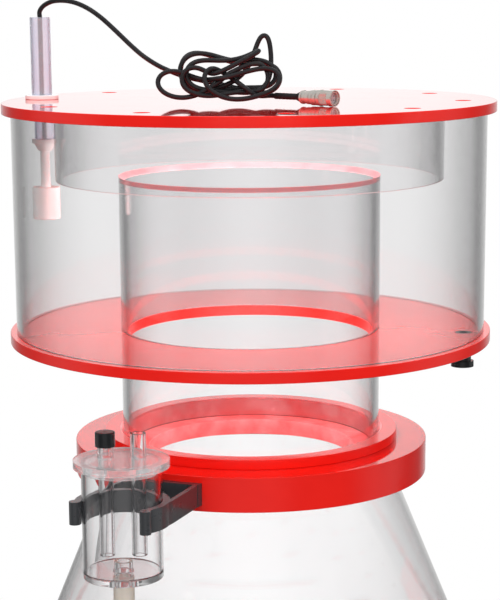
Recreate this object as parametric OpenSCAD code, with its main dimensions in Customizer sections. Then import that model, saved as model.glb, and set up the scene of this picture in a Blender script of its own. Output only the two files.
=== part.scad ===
// Protein skimmer: a free-standing foam fractionator with a cone body, a lift-off collection cup,
// a float switch in the lid, an air silencer in a clip and a needle wheel pump on the base plate.
// The origin is on the floor, on the axis of the body. +Z is up.

/* [Sheet and tube stock] */
// Thickness of the acrylic sheet that the lid, cup floor and base are cut from
sheet = 10; // [8:1:12]
// Wall of the clear acrylic tubes
wall = 5; // [4:0.5:6]

/* [Collection cup] */
// Height of the lid's top face above the floor
lid_top = 850; // [840:1:900]
// Outer diameter of the collection cup's tube
cup_d = 450; // [440:1:454]
// Height of the collection cup's tube
cup_h = 207; // [190:1:210]
// How far the lid and the cup floor stand out beyond the tube
rim = 6; // [4:1:8]
// Outer diameter of the foam riser and of the neck below it
neck_d = 250; // [246:1:252]
// Height of the foam riser above the cup floor
riser_h = 147; // [130:1:150]
// Outer diameter of the splash skirt under the lid
skirt_d = 370; // [350:1:380]
// Height of the splash skirt
skirt_h = 63; // [50:1:66]

/* [Collar] */
// Outer diameter of the collar that the cup plugs into
collar_d = 342; // [330:1:350]
// Height of the collar
collar_h = 32.5; // [32:0.5:36]
// Clear height between the collar and the cup floor
neck_gap = 98; // [96:1:110]
// Outer diameter of the neck ring's flange
ring_d = 285; // [280:1:300]

/* [Body] */
// Outer diameter of the reaction chamber
body_d = 500; // [480:1:520]
// Height of the seam between the chamber's tube and its cone
seam_z = 220; // [210:1:230]
// Thickness of the base plate
base_t = 12; // [10:1:15]
// Height of the bubble plate's underside
plate_z = 150; // [145:1:160]

/* [Float switch] */
// Distance of the ring of vent holes from the axis
vent_r = 202; // [196:1:204]
// Diameter of a vent hole
vent_d = 15; // [12:1:18]
// Outer diameter of the sensor's tube
sensor_d = 19.4; // [18:0.2:20]
// Height of the sensor's tube above the lid
sensor_up = 77.6; // [60:0.1:80]
// Outer diameter of the float
float_d = 28; // [26:1:30]
// Diameter of the sensor's cable
cable_d = 4.5; // [4:0.5:5]

/* [Air silencer] */
// Outer diameter of the silencer's cup
silencer_d = 70; // [69:0.5:71]
// Distance of the silencer's axis from the body's axis
silencer_r = 247; // [246:1:249]
// Direction of the silencer from the body's axis
silencer_az = -117; // [-119:1:-115]
// Outer diameter of the air hose
hose_d = 19; // [18:0.5:19]

/* [Pump] */
// Distance of the pump's axis from the body's axis
pump_x = 345; // [345:1:350]
// Height of the pump's axis
pump_z = 76; // [74:1:80]
// Outer radius of the motor
motor_r = 46; // [44:1:47]

/* [Outlet] */
// Outer diameter of the water outlet pipe
outlet_d = 75; // [73:1:76]
// Height of the outlet pipe's top
outlet_top = 430; // [400:5:440]

/* [Hidden] */
fine = 96;
medium_fn = 48;
small_fn = 32;
gap = 0.1;      // between glued round parts
loose = 0.3;    // between round parts that move past each other
red = [0.86, 0.13, 0.12];
clear = [0.85, 0.88, 0.9, 0.35];
black = [0.08, 0.08, 0.09];
grey = [0.3, 0.3, 0.32];
white = [0.95, 0.94, 0.92];
lavender = [0.7, 0.74, 0.9, 0.6];
nickel = [0.75, 0.75, 0.74];

cup_r = cup_d / 2;
rim_r = cup_r + rim;
lid_over = 2.5;                // how far the lid reaches past the cup floor's rim
neck_r = neck_d / 2;
collar_r = collar_d / 2;
body_r = body_d / 2;
lid_z = lid_top - sheet;
floor_top = lid_z - cup_h;
floor_z = floor_top - sheet;
collar_top = floor_z - neck_gap;
collar_z = collar_top - collar_h;
ring_top = collar_top + 9;

spigot_r = 132;               // of the neck ring, inside the collar's bore
spigot_z = collar_top - 24;
neck_z = ring_top - 18;       // the ledge that the neck tube stands on
throat_r = 100;
cone_top_r = 138;             // at the collar's underside
cone_slope = (body_r - cone_top_r) / (collar_z - seam_z);
cone_wall = 5.4;
cone_seat = 6;                // how far the cone stands in the collar

vent_step = 36;
vent_start = -45;
sensor_az = 171;
sensor_x = vent_r * cos(sensor_az);
sensor_y = vent_r * sin(sensor_az);
sensor_r = sensor_d / 2;
sensor_end = lid_top - 38;    // lower end of the sensor's tube
sensor_tip = lid_top + sensor_up;
stem_r = 4.8;
float_top = lid_top - 84.5;
float_h = 30.7;
float_z = float_top - float_h;

silencer_x = silencer_r * cos(silencer_az);
silencer_y = silencer_r * sin(silencer_az);
sil_r = silencer_d / 2;
sil_top = lid_top - 294;      // top of the silencer's lid
sil_lid_t = 6.5;
sil_z = sil_top - sil_lid_t - 93;
nipple_dx = 14.3;
nipple_dy = 6.5;
nipple_r = 7;
clip_z = collar_z + 6;
clip_h = 20.5;

drain_r = 206;
drain_az = -11.9;
drain_x = drain_r * cos(drain_az);
drain_y = drain_r * sin(drain_az);

volute_r = 52;
volute_half = 21;
pipe_r = 20;
pipe_z = pump_z + 28;         // the volute's outlet leaves at its top
shaft_r = 3;
outlet_r = outlet_d / 2;
outlet_z = 65;
outlet_x = body_r + 70;
socket_z = outlet_z + 49;     // where the outlet pipe stands in its foot

// The sensor's cable from the tube's top to the tangle that lies on the lid.
// Each point is across, away from the front, and up from the lid's top.
CABLE_ROUTE = [
    [-199.5, 31.6, 77.6], [-199.5, 31.6, 83], [-195, 29, 88.5],
    [-186, 26, 92.5], [-174, 20, 93], [-162, 14, 90.5],
    [-150, 8, 85], [-139, 3, 77.5], [-129, -2, 69],
    [-119, -9, 60], [-109, -16, 51], [-99, -24, 43],
    [-88, -31, 36], [-76, -38, 30], [-64, -44, 25]];
// The plan of the tangle: a bar with round ends, lying on the lid.
tangle_a = [-60, -57];
tangle_b = [8, -62];
tangle_r = 27;
tangle_h = 36;

// The connector lies on the lid, with its boot in the tangle.
plug_at = [48, -91];
plug_turn = -42;
plug_r = 7.4;

// The air hose, from the silencer's outlet down along the cone to the venturi.
HOSE_ROUTE = [
    [-112.1, -220.1, 446], [-112.1, -220.1, 434], [-112.7, -221, 420], [-115, -223, 404],
    [-119, -226, 388], [-125, -229, 372], [-133, -231, 356], [-143, -232, 340],
    [-155, -232, 324], [-168, -231, 309], [-182, -228, 295], [-196, -223, 282],
    [-211, -217, 268], [-225, -210, 255], [-239, -202, 243], [-253, -193, 232],
    [-267, -183, 223], [-280, -171, 214], [-293, -158, 205], [-305, -145, 196],
    [-316, -131, 187], [-326, -118, 178], [-334, -106, 168], [-340, -96, 157],
    [-344, -88, 145], [-345, -84, 132], [-345, -84, 118]];

// ---- shapes that repeat ----

module disc(r, z0, z1, fn = fine) {
    translate([0, 0, z0])
        cylinder(r = r, h = z1 - z0, $fn = fn);
}

module tube(r, bore_r, z0, z1, fn = fine) {
    difference() {
        disc(r, z0, z1, fn);
        disc(bore_r, z0 - 1, z1 + 1, fn);
    }
}

module x_disc(r, x0, x1, y, z, fn = medium_fn) {
    translate([x0, y, z])
        rotate([0, 90, 0])
            cylinder(r = r, h = x1 - x0, $fn = fn);
}

module y_disc(r, y0, y1, x, z, fn = medium_fn) {
    translate([x, y0, z])
        rotate([-90, 0, 0])
            cylinder(r = r, h = y1 - y0, $fn = fn);
}

module rounded_plate(x0, x1, y0, y1, r, t) {
    translate([x0 + r, y0, 0])
        cube([x1 - x0 - 2 * r, y1 - y0, t]);
    translate([x0, y0 + r, 0])
        cube([x1 - x0, y1 - y0 - 2 * r, t]);
    for (x = [x0 + r, x1 - r], y = [y0 + r, y1 - r])
        translate([x, y, 0])
            cylinder(r = r, h = t, $fn = medium_fn);
}

function unit(v) = v / norm(v);
function along(p, i) = unit(p[min(i + 1, len(p) - 1)] - p[max(i - 1, 0)]);

// A tube of radius r with flat ends, swept through the points p.
module swept(p, r, sides) {
    across = [for (i = [0 : len(p) - 1]) unit(cross(along(p, i), [0, 1, 0]))];
    rings = [for (i = [0 : len(p) - 1], k = [0 : sides - 1])
        let (u = across[i], v = cross(u, along(p, i)), a = 360 * k / sides)
        p[i] + r * (cos(a) * u + sin(a) * v)];
    sides_of = [for (i = [0 : len(p) - 2], k = [0 : sides - 1])
        let (a = i * sides + k, b = i * sides + (k + 1) % sides)
        [a, a + sides, b + sides, b]];
    last = (len(p) - 1) * sides;
    polyhedron(rings, concat(
        [[for (k = [0 : sides - 1]) k]],
        sides_of,
        [[for (k = [sides - 1 : -1 : 0]) last + k]]));
}

module at_sensor() {
    translate([sensor_x, sensor_y, 0])
        children();
}

module at_silencer(dx = 0, dy = 0) {
    translate([silencer_x + dx, silencer_y + dy, 0])
        children();
}

module at_drain() {
    translate([drain_x, drain_y, 0])
        children();
}

// Along the connector's axis, which lies level on the lid.
module at_plug() {
    translate([plug_at[0], plug_at[1], lid_top + plug_r])
        rotate([0, 0, plug_turn])
            rotate([0, 90, 0])
                children();
}

// ---- lid and float switch ----

module lid() {
    color(red) difference() {
        disc(rim_r + lid_over, lid_z, lid_top);
        for (i = [0 : 9])
            let (a = vent_start + i * vent_step, r = a == sensor_az ? 11.1 : vent_d / 2)
                rotate([0, 0, a])
                    translate([vent_r, 0, 0])
                        disc(r, lid_z - 1, lid_top + 1, small_fn);
    }
}

module lid_skirt() {
    color(clear) tube(skirt_d / 2, skirt_d / 2 - wall + 0.5, lid_z - skirt_h, lid_z);
}

module sensor_bushing() {
    color(white) at_sensor() difference() {
        union() {
            disc(11, lid_z - 2, lid_top + 1, medium_fn);
            disc(16, lid_top, lid_top + 4, medium_fn);
        }
        disc(sensor_r + gap, lid_z - 3, lid_top + 5, medium_fn);
    }
}

module sensor_tube() {
    color(lavender) at_sensor() tube(sensor_r, sensor_r - 2, sensor_end, sensor_tip, medium_fn);
}

// The cable's straight length inside the sensor's tube.
module sensor_lead() {
    color(black) at_sensor() disc(cable_d / 2, sensor_end + 0.5, sensor_tip, small_fn);
}

module sensor_holder() {
    color(white) at_sensor() difference() {
        union() {
            disc(13, sensor_end - 4, sensor_end, medium_fn);
            disc(sensor_r - 2 - gap, sensor_end - 1, sensor_end + 0.5, medium_fn);
            translate([0, 0, sensor_end - 11.5])
                cylinder(r1 = 6.5, r2 = 11, h = 7.5, $fn = medium_fn);
        }
        disc(stem_r + gap, sensor_end - 12, sensor_end - 2, small_fn);
    }
}

module float_stem() {
    color(white) at_sensor() disc(stem_r, float_z + 1.5, sensor_end - 2.2, small_fn);
}

// The ring on the stem's end that the float rests on, inside the float's recess.
module stem_clip() {
    color(nickel) at_sensor() tube(7, stem_r + gap, float_z + 3, float_z + 5, small_fn);
}

module float() {
    color(white) at_sensor() difference() {
        disc(float_d / 2, float_z, float_top, medium_fn);
        disc(stem_r + loose, float_z - 1, float_top + 1, small_fn);
        disc(8, float_z - 1, float_z + 5, small_fn);
    }
}

// ---- cable and connector ----

module cable() {
    color(black) swept([for (p = CABLE_ROUTE) p + [0, 0, lid_top]], cable_d / 2, 8);
}

module cable_tangle() {
    run = tangle_b - tangle_a;
    color(black) translate([tangle_a[0], tangle_a[1], lid_top])
        rotate([0, 0, atan2(run[1], run[0])])
            linear_extrude(tangle_h) {
                circle(r = tangle_r, $fn = medium_fn);
                translate([0, -tangle_r])
                    square([norm(run), 2 * tangle_r]);
                translate([norm(run), 0])
                    circle(r = tangle_r, $fn = medium_fn);
            }
}

module connector_boot() {
    color(black) at_plug() {
        translate([0, 0, -32])
            cylinder(r = 2.9, h = 26, $fn = small_fn);
        translate([0, 0, -6])
            cylinder(r1 = 2.9, r2 = 5.4, h = 6, $fn = small_fn);
    }
}

module connector_body() {
    color(nickel) at_plug() difference() {
        union() {
            cylinder(r = 6.2, h = 12, $fn = medium_fn);
            translate([0, 0, 12])
                cylinder(r = 6.9, h = 8, $fn = medium_fn);
            translate([0, 0, 20])
                cylinder(r = 6.2, h = 18, $fn = medium_fn);
        }
        translate([0, 0, 26])
            cylinder(r = 5.1, h = 13, $fn = medium_fn);
    }
}

module connector_insert() {
    color(grey) at_plug() difference() {
        translate([0, 0, 26])
            cylinder(r = 5, h = 9, $fn = medium_fn);
        for (a = [45 : 90 : 315])
            rotate([0, 0, a])
                translate([2.6, 0, 30])
                    cylinder(r = 0.7, h = 6, $fn = 16);
    }
}

module connector_nut() {
    color(nickel) at_plug() difference() {
        translate([0, 0, 21])
            cylinder(r = 7.3, h = 17, $fn = medium_fn);
        translate([0, 0, 20])
            cylinder(r = 6.3, h = 19, $fn = medium_fn);
    }
}

// ---- collection cup ----

module cup_tube() {
    color(clear) tube(cup_r, cup_r - wall, floor_top, lid_z);
}

module cup_floor() {
    color(red) difference() {
        disc(rim_r, floor_z, floor_top);
        disc(neck_r - wall - 2.5, floor_z - 1, floor_top + 1);
        at_drain()
            disc(8, floor_z - 1, floor_top + 1, small_fn);
    }
}

module riser_tube() {
    top = floor_top + riser_h;
    color(clear) rotate_extrude($fn = fine)
        polygon([[neck_r - wall, floor_top], [neck_r, floor_top], [neck_r, top],
            [neck_r - wall, top - wall]]);
}

module neck_tube() {
    color(clear) tube(neck_r, neck_r - wall, neck_z, floor_z);
}

module neck_ring() {
    bore = neck_r + gap;
    groove = spigot_r - 3.5;
    color(red) rotate_extrude($fn = fine)
        polygon([[throat_r, spigot_z], [spigot_r, spigot_z],
            [spigot_r, spigot_z + 4], [groove, spigot_z + 4],
            [groove, spigot_z + 8], [spigot_r, spigot_z + 8],
            [spigot_r, spigot_z + 14], [groove, spigot_z + 14],
            [groove, spigot_z + 18], [spigot_r, spigot_z + 18],
            [spigot_r, collar_top], [ring_d / 2, collar_top], [ring_d / 2, ring_top],
            [bore + 2, ring_top], [bore, ring_top - 2], [bore, neck_z], [throat_r, neck_z]]);
}

module neck_seals() {
    color(black) for (z = [spigot_z + 6, spigot_z + 16])
        translate([0, 0, z])
            rotate_extrude($fn = fine)
                translate([spigot_r - 1.6, 0])
                    circle(r = 1.8, $fn = small_fn);
}

module drain_nipple() {
    color(black) at_drain() difference() {
        union() {
            disc(8 - gap, floor_z, floor_top, small_fn);
            disc(6, floor_z - 20, floor_z + 1, small_fn);
        }
        disc(4, floor_z - 21, floor_top + 1, small_fn);
    }
}

module drain_washer() {
    color(grey) at_drain() tube(9.5, 6 + gap, floor_z - 3, floor_z, small_fn);
}

module drain_cap() {
    color(black) at_drain() difference() {
        union() {
            disc(10.8, floor_z - 23, floor_z - 17.5, medium_fn);
            disc(8.2, floor_z - 23, floor_z - 8, medium_fn);
        }
        disc(6 + gap, floor_z - 20, floor_z - 7, small_fn);
    }
}

// ---- collar, cone and chamber ----

module collar() {
    color(red) difference() {
        disc(collar_r, collar_z, collar_top);
        disc(spigot_r + 0.5, spigot_z, collar_top + 1);
        disc(neck_r - 2, collar_z - 1, collar_top + 1);
        disc(cone_top_r + loose, collar_z - 1, collar_z + cone_seat);
    }
}

module cone() {
    top = collar_z + cone_seat - 0.2;
    top_r = cone_top_r - cone_slope * (top - collar_z);
    color(clear) rotate_extrude($fn = fine)
        polygon([[body_r - cone_wall, seam_z], [body_r, seam_z], [top_r, top],
            [top_r - cone_wall, top]]);
}

module joint_ring() {
    color(red) tube(body_r + 12, body_r + gap, seam_z - 12, seam_z + 6);
}

module body_tube() {
    color(clear) difference() {
        tube(body_r, body_r - wall - 1, base_t, seam_z);
        x_disc(24.1, -body_r - 5, -body_r + 30, 0, pipe_z);
        x_disc(outlet_r + gap, body_r - 30, body_r + 5, 0, outlet_z);
    }
}

module base_plate() {
    color(red) {
        disc(body_r + 12, 0, base_t);
        rounded_plate(-pump_x - 75, 0, -170, 165, 30, base_t);
        rounded_plate(0, outlet_x + 50, -65, 65, 30, base_t);
    }
}

module bubble_plate() {
    color(white) difference() {
        disc(body_r - wall - 2, plate_z, plate_z + 6);
        for (ring = [1 : 6])
            for (k = [0 : 6 * ring - 1])
                rotate([0, 0, k * 60 / ring])
                    translate([ring * 35, 0, 0])
                        disc(5, plate_z - 1, plate_z + 7, 16);
    }
}

module plate_legs() {
    color(white) for (a = [45 : 90 : 315])
        rotate([0, 0, a])
            translate([192, 0, 0])
                disc(8, base_t, plate_z, small_fn);
}

// ---- silencer and its clip ----

module clip() {
    jaw = sil_r + 0.7;
    tip = (jaw + 5.5) * [cos(59), sin(59)];
    color(grey) rotate([0, 0, silencer_az])
        translate([0, 0, clip_z])
            difference() {
                linear_extrude(clip_h) difference() {
                    union() {
                        intersection() {
                            circle(r = collar_r + 7.3, $fn = fine);
                            translate([collar_r - 10, -35.6])
                                square([30, 71.2]);
                        }
                        translate([silencer_r, 0]) difference() {
                            circle(r = jaw + 6, $fn = medium_fn);
                            polygon([[0, 0], 90 * [cos(59), sin(59)], [90, 0],
                                90 * [cos(59), -sin(59)]]);
                        }
                        for (s = [-1, 1])
                            translate([silencer_r + tip[0], s * tip[1]])
                                circle(r = 5, $fn = small_fn);
                        polygon([[collar_r + 1, -34.9], [silencer_r - 17, -40.4], [silencer_r - 5, -40.4],
                            [silencer_r - 5, 40.4], [silencer_r - 17, 40.4], [collar_r + 1, 34.9]]);
                    }
                    difference() {
                        polygon([[collar_r + 1, -30.8], [silencer_r - 17, -36.4], [silencer_r - 6, -37],
                            [silencer_r - 6, 37], [silencer_r - 17, 36.4], [collar_r + 1, 30.8]]);
                        circle(r = collar_r + 7.3, $fn = fine);
                        translate([silencer_r, 0])
                            circle(r = jaw + 6, $fn = medium_fn);
                    }
                    circle(r = collar_r + 0.3, $fn = fine);
                    translate([silencer_r, 0])
                        circle(r = jaw, $fn = medium_fn);
                }
                translate([collar_r, 0, clip_h / 2])
                    rotate([0, 90, 0]) {
                        cylinder(r = 2.1, h = 20, $fn = small_fn);
                        translate([0, 0, 7.3])
                            cylinder(r = 4.3, h = 15, $fn = small_fn);
                    }
            }
}

// One flat-headed screw holds the clip's bar to the collar.
module clip_screw() {
    color(nickel) rotate([0, 0, silencer_az])
        translate([0, 0, clip_z + clip_h / 2])
            rotate([0, 90, 0]) {
                translate([0, 0, collar_r])
                    cylinder(r = 2, h = 8, $fn = small_fn);
                translate([0, 0, collar_r + 7.4])
                    cylinder(r = 4, h = 1.8, $fn = small_fn);
            }
}

module silencer_tube() {
    color(clear) at_silencer() tube(sil_r, sil_r - 3, sil_z, sil_top - sil_lid_t, medium_fn);
}

module silencer_base() {
    color(clear) at_silencer() difference() {
        disc(sil_r, sil_z - 6, sil_z, medium_fn);
        disc(8.2 + gap, sil_z - 7, sil_z + 1, small_fn);
    }
}

module silencer_outlet() {
    color(clear) at_silencer() tube(8.2, 5.5, sil_z - 24, sil_z + 8, small_fn);
}

module silencer_lid() {
    color(clear) at_silencer() difference() {
        union() {
            disc(42, sil_top - sil_lid_t, sil_top, medium_fn);
            disc(sil_r - 3 - loose, sil_top - sil_lid_t - 5, sil_top - 1, medium_fn);
        }
        disc(sil_r - 6, sil_top - sil_lid_t - 6, sil_top - sil_lid_t, medium_fn);
        for (s = [-1, 1])
            translate([s * nipple_dx, nipple_dy, 0])
                disc(nipple_r - 0.2 + gap, sil_top - 20, sil_top + 1, small_fn);
    }
}

// A tube through the silencer's lid, with a nipple that stands on the lid.
module lid_nipple(up) {
    difference() {
        union() {
            disc(nipple_r - 0.2, sil_top - 88, sil_top + 1, small_fn);
            disc(nipple_r, sil_top, sil_top + up, small_fn);
        }
        disc(4.5, sil_top - 89, sil_top + up + 1, small_fn);
    }
}

module intake_tube() {
    color(clear) at_silencer(nipple_dx, nipple_dy) lid_nipple(21.4);
}

module capped_tube() {
    color(clear) at_silencer(-nipple_dx, nipple_dy) lid_nipple(19);
}

module nipple_cap() {
    color(black) at_silencer(-nipple_dx, nipple_dy) difference() {
        disc(8.75, sil_top + 9.5, sil_top + 22.7, medium_fn);
        disc(nipple_r + loose, sil_top + 8.5, sil_top + 19.4, small_fn);
    }
}

module air_hose() {
    color([0.93, 0.9, 0.82]) swept(HOSE_ROUTE, hose_d / 2, 12);
}

// ---- pump ----

module bulkhead() {
    color(grey) difference() {
        union() {
            intersection() {
                x_disc(34, -body_r + 5, -body_r + 18, 0, pipe_z);
                disc(body_r - wall - 1 - gap, 0, plate_z);
            }
            difference() {
                x_disc(34, -body_r - 12, -body_r + 5, 0, pipe_z);
                disc(body_r + gap, 0, plate_z);
            }
            x_disc(24, -body_r - 34, -body_r + 18, 0, pipe_z);
        }
        x_disc(18, -body_r - 35, -body_r + 19, 0, pipe_z);
    }
}

module union_nut() {
    color(black) difference() {
        union() {
            x_disc(31, -body_r - 40, -body_r - 18, 0, pipe_z);
            for (a = [0 : 60 : 300])
                translate([0, 0, pipe_z])
                    rotate([a, 0, 0])
                        x_disc(5, -body_r - 40, -body_r - 18, 0, 29, 24);
        }
        x_disc(24 + gap, -body_r - 39.2, -body_r - 17, 0, pipe_z);
        x_disc(pipe_r + gap, -body_r - 45, -body_r - 15, 0, pipe_z);
    }
}

module volute() {
    color(grey) difference() {
        union() {
            y_disc(volute_r, -volute_half, volute_half, -pump_x, pump_z);
            x_disc(pipe_r, -pump_x, -body_r - 34.2, 0, pipe_z);
            x_disc(23.8, -body_r - 39, -body_r - 34.2, 0, pipe_z);
        }
        y_disc(42, -volute_half - 1, volute_half - 6, -pump_x, pump_z);
        y_disc(10, 0, volute_half + 1, -pump_x, pump_z);
        x_disc(16, -pump_x, -body_r - 30, 0, pipe_z);
        for (a = [30 : 60 : 330])
            translate([-pump_x + 47 * cos(a), 0, pump_z + 47 * sin(a)])
                y_disc(1.9, -volute_half - 1, -volute_half + 12, 0, 0, 16);
    }
}

module volute_cover() {
    color(grey) difference() {
        union() {
            y_disc(volute_r, -volute_half - 6, -volute_half, -pump_x, pump_z);
            y_disc(pipe_r, -60, -volute_half - 5, -pump_x, pump_z);
        }
        y_disc(16, -61, -volute_half + 1, -pump_x, pump_z);
        for (a = [30 : 60 : 330])
            translate([-pump_x + 47 * cos(a), 0, pump_z + 47 * sin(a)])
                y_disc(2.1, -volute_half - 8, -volute_half + 1, 0, 0, 16);
    }
}

module volute_screws() {
    color(nickel) for (a = [30 : 60 : 330])
        translate([-pump_x + 47 * cos(a), 0, pump_z + 47 * sin(a)]) {
            y_disc(1.8, -volute_half - 7, -volute_half + 10, 0, 0, 16);
            y_disc(3.6, -volute_half - 9, -volute_half - 6, 0, 0, 24);
        }
}

module motor_housing() {
    y0 = volute_half;
    y1 = volute_half + 113;
    color(black) difference() {
        union() {
            y_disc(motor_r, y0, y1, -pump_x, pump_z);
            for (y = [y0 + 12 : 18 : y1 - 12])
                y_disc(motor_r + 1.5, y, y + 6, -pump_x, pump_z);
        }
        y_disc(17.5, y0 - 1, y0 + 90, -pump_x, pump_z);
        y_disc(8 + gap, y0 + 80, y0 + 99, -pump_x, pump_z, small_fn);
    }
}

module motor_cap() {
    y0 = volute_half + 113;
    color(black) difference() {
        union() {
            y_disc(motor_r, y0, y0 + 8, -pump_x, pump_z);
            y_disc(motor_r - 5, y0 + 7, y0 + 13, -pump_x, pump_z);
        }
        y_disc(8 + gap, y0 - 1, y0 + 14, -pump_x, pump_z + 22, small_fn);
    }
}

// The power cable's gland, with an open bore of 8 mm for it.
module cable_gland() {
    y0 = volute_half + 113;
    color(black) difference() {
        union() {
            y_disc(8, y0, y0 + 14, -pump_x, pump_z + 22, small_fn);
            y_disc(11, y0 + 13, y0 + 20, -pump_x, pump_z + 22, small_fn);
            y_disc(9, y0 + 20, y0 + 28, -pump_x, pump_z + 22, small_fn);
        }
        y_disc(4, y0 - 1, y0 + 29, -pump_x, pump_z + 22, small_fn);
    }
}

module bearings() {
    color(white) difference() {
        union() {
            y_disc(10 - gap, volute_half - 6, volute_half, -pump_x, pump_z, small_fn);
            y_disc(8, volute_half + 90, volute_half + 98.5, -pump_x, pump_z, small_fn);
        }
        y_disc(shaft_r + 0.06, 0, volute_half + 100, -pump_x, pump_z, small_fn);
    }
}

module rotor() {
    color(grey) difference() {
        y_disc(15, volute_half + 4, volute_half + 84, -pump_x, pump_z);
        y_disc(shaft_r + 0.05, 0, volute_half + 100, -pump_x, pump_z, small_fn);
    }
}

module shaft() {
    color(white) y_disc(shaft_r, -volute_half + 6, volute_half + 97, -pump_x, pump_z, small_fn);
}

module needle_wheel() {
    color(white) difference() {
        union() {
            y_disc(34, 2, 6, -pump_x, pump_z);
            y_disc(8, -12, 12, -pump_x, pump_z, small_fn);
            for (ring = [0 : 2])
                for (k = [0 : 5 + 6 * ring])
                    let (a = k * 360 / (6 + 6 * ring), r = 14 + 8 * ring)
                        y_disc(1.5, -14, 3, -pump_x + r * cos(a), pump_z + r * sin(a), 16);
        }
        y_disc(shaft_r + 0.05, -20, 20, -pump_x, pump_z, small_fn);
    }
}

// A body with a narrow throat, where the air nipple stands.
module venturi() {
    color(grey) difference() {
        union() {
            translate([-pump_x, 0, pump_z])
                rotate([90, 0, 0])
                    rotate_extrude($fn = medium_fn)
                        polygon([[20.1, 48], [24, 48], [24, 72], [20, 72], [20, 110], [16, 110],
                            [12, 92], [12, 78], [16, 61], [20.1, 61]]);
            translate([-pump_x, -84, pump_z + 13])
                cylinder(r = 8.2, h = 45, $fn = small_fn);
        }
        translate([-pump_x, -84, pump_z])
            cylinder(r = 5.5, h = 60, $fn = small_fn);
    }
}

module strainer() {
    color(black) difference() {
        y_disc(25, -160, -94, -pump_x, pump_z);
        y_disc(pipe_r + loose, -155, -93, -pump_x, pump_z);
        for (a = [0 : 45 : 315])
            translate([-pump_x, -150, pump_z])
                rotate([0, a, 0])
                    translate([15, 0, -2])
                        cube([15, 36, 4]);
    }
}

module pump_feet() {
    color(black) difference() {
        for (x = [-pump_x - 24, -pump_x + 24], y = [volute_half + 20, volute_half + 95])
            translate([x, y, 0])
                disc(11, base_t, pump_z - 30, small_fn);
        y_disc(motor_r + 1.6, 0, 200, -pump_x, pump_z);
    }
}

// ---- water outlet ----

// A closed foot on the base plate, with a stub from the chamber's wall and a socket for the pipe.
module outlet_foot() {
    color(grey) difference() {
        union() {
            difference() {
                x_disc(46, body_r - 30, body_r + 12, 0, outlet_z);
                disc(body_r + gap, 0, 200);
            }
            x_disc(outlet_r, body_r - 18, outlet_x, 0, outlet_z);
            translate([outlet_x, 0, 0])
                disc(outlet_r + 4, base_t, socket_z + 28);
        }
        x_disc(outlet_r - 4.5, body_r - 19, outlet_x, 0, outlet_z);
        translate([outlet_x, 0, 0]) {
            disc(outlet_r - 3, base_t + 6, socket_z + 1);
            disc(outlet_r + gap, socket_z, socket_z + 29);
        }
    }
}

module outlet_pipe() {
    color(red) translate([outlet_x, 0, 0]) difference() {
        tube(outlet_r, outlet_r - 3, socket_z, outlet_top);
        translate([0, -60, outlet_top - 42])
            cube([60, 120, 30]);
    }
}

module outlet_sleeve() {
    color(clear) translate([outlet_x, 0, 0]) difference() {
        tube(outlet_r + 4, outlet_r + loose, outlet_top - 60, outlet_top + 8);
        translate([-60, -60, outlet_top - 42])
            cube([60, 120, 30]);
    }
}

lid();
lid_skirt();
sensor_bushing();
sensor_tube();
sensor_lead();
sensor_holder();
float_stem();
stem_clip();
float();
cable();
cable_tangle();
connector_boot();
connector_body();
connector_insert();
connector_nut();
cup_tube();
cup_floor();
riser_tube();
neck_tube();
neck_ring();
neck_seals();
drain_nipple();
drain_washer();
drain_cap();
collar();
cone();
joint_ring();
body_tube();
base_plate();
bubble_plate();
plate_legs();
clip();
clip_screw();
silencer_tube();
silencer_base();
silencer_outlet();
silencer_lid();
intake_tube();
capped_tube();
nipple_cap();
air_hose();
bulkhead();
union_nut();
volute();
volute_cover();
volute_screws();
motor_housing();
motor_cap();
cable_gland();
bearings();
rotor();
shaft();
needle_wheel();
venturi();
strainer();
pump_feet();
outlet_foot();
outlet_pipe();
outlet_sleeve();
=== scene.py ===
"""A protein skimmer of clear and red acrylic, on a white studio sweep.

The camera and the cords come first, then the materials, the turned pieces of clear tube and red sheet,
the float switch, the silencer and its clip, the pump and the outlet, and last the studio.
"""

import math

import bmesh
import bpy
import numpy as np
from mathutils import Matrix, Vector

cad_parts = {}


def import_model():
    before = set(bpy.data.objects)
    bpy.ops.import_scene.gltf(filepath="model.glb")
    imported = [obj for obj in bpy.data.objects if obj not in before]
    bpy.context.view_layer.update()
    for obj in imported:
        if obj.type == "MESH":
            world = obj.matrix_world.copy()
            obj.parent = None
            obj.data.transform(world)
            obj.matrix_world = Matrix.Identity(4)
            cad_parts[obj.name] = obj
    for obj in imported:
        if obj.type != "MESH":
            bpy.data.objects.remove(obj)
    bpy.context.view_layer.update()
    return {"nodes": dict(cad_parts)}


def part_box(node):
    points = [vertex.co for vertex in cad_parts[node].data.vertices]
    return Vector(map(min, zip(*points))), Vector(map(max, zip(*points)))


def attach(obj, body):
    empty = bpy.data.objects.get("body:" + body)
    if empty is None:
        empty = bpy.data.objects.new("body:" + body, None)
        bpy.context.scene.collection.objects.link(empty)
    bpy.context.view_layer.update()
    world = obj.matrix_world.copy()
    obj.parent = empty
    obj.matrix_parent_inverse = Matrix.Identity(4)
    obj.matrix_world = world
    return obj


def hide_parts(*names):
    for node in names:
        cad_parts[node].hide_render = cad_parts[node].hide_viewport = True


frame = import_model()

MM = 0.001
nodes = frame["nodes"]


def lo(node):
    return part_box(node)[0]


def hi(node):
    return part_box(node)[1]


def mid(node):
    return (lo(node) + hi(node)) / 2


LID_TOP = hi("lid").z

# ---------------------------------------------------------------- camera

CAMERA_BACK = 1.7796
CAMERA_UP = 0.1027
CAMERA_PITCH = math.radians(11.59)
CAMERA_ROLL = math.radians(-0.35)
CAMERA_LENS = 111.66
CAMERA_SHIFT = (-0.001, 0.118)


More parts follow.
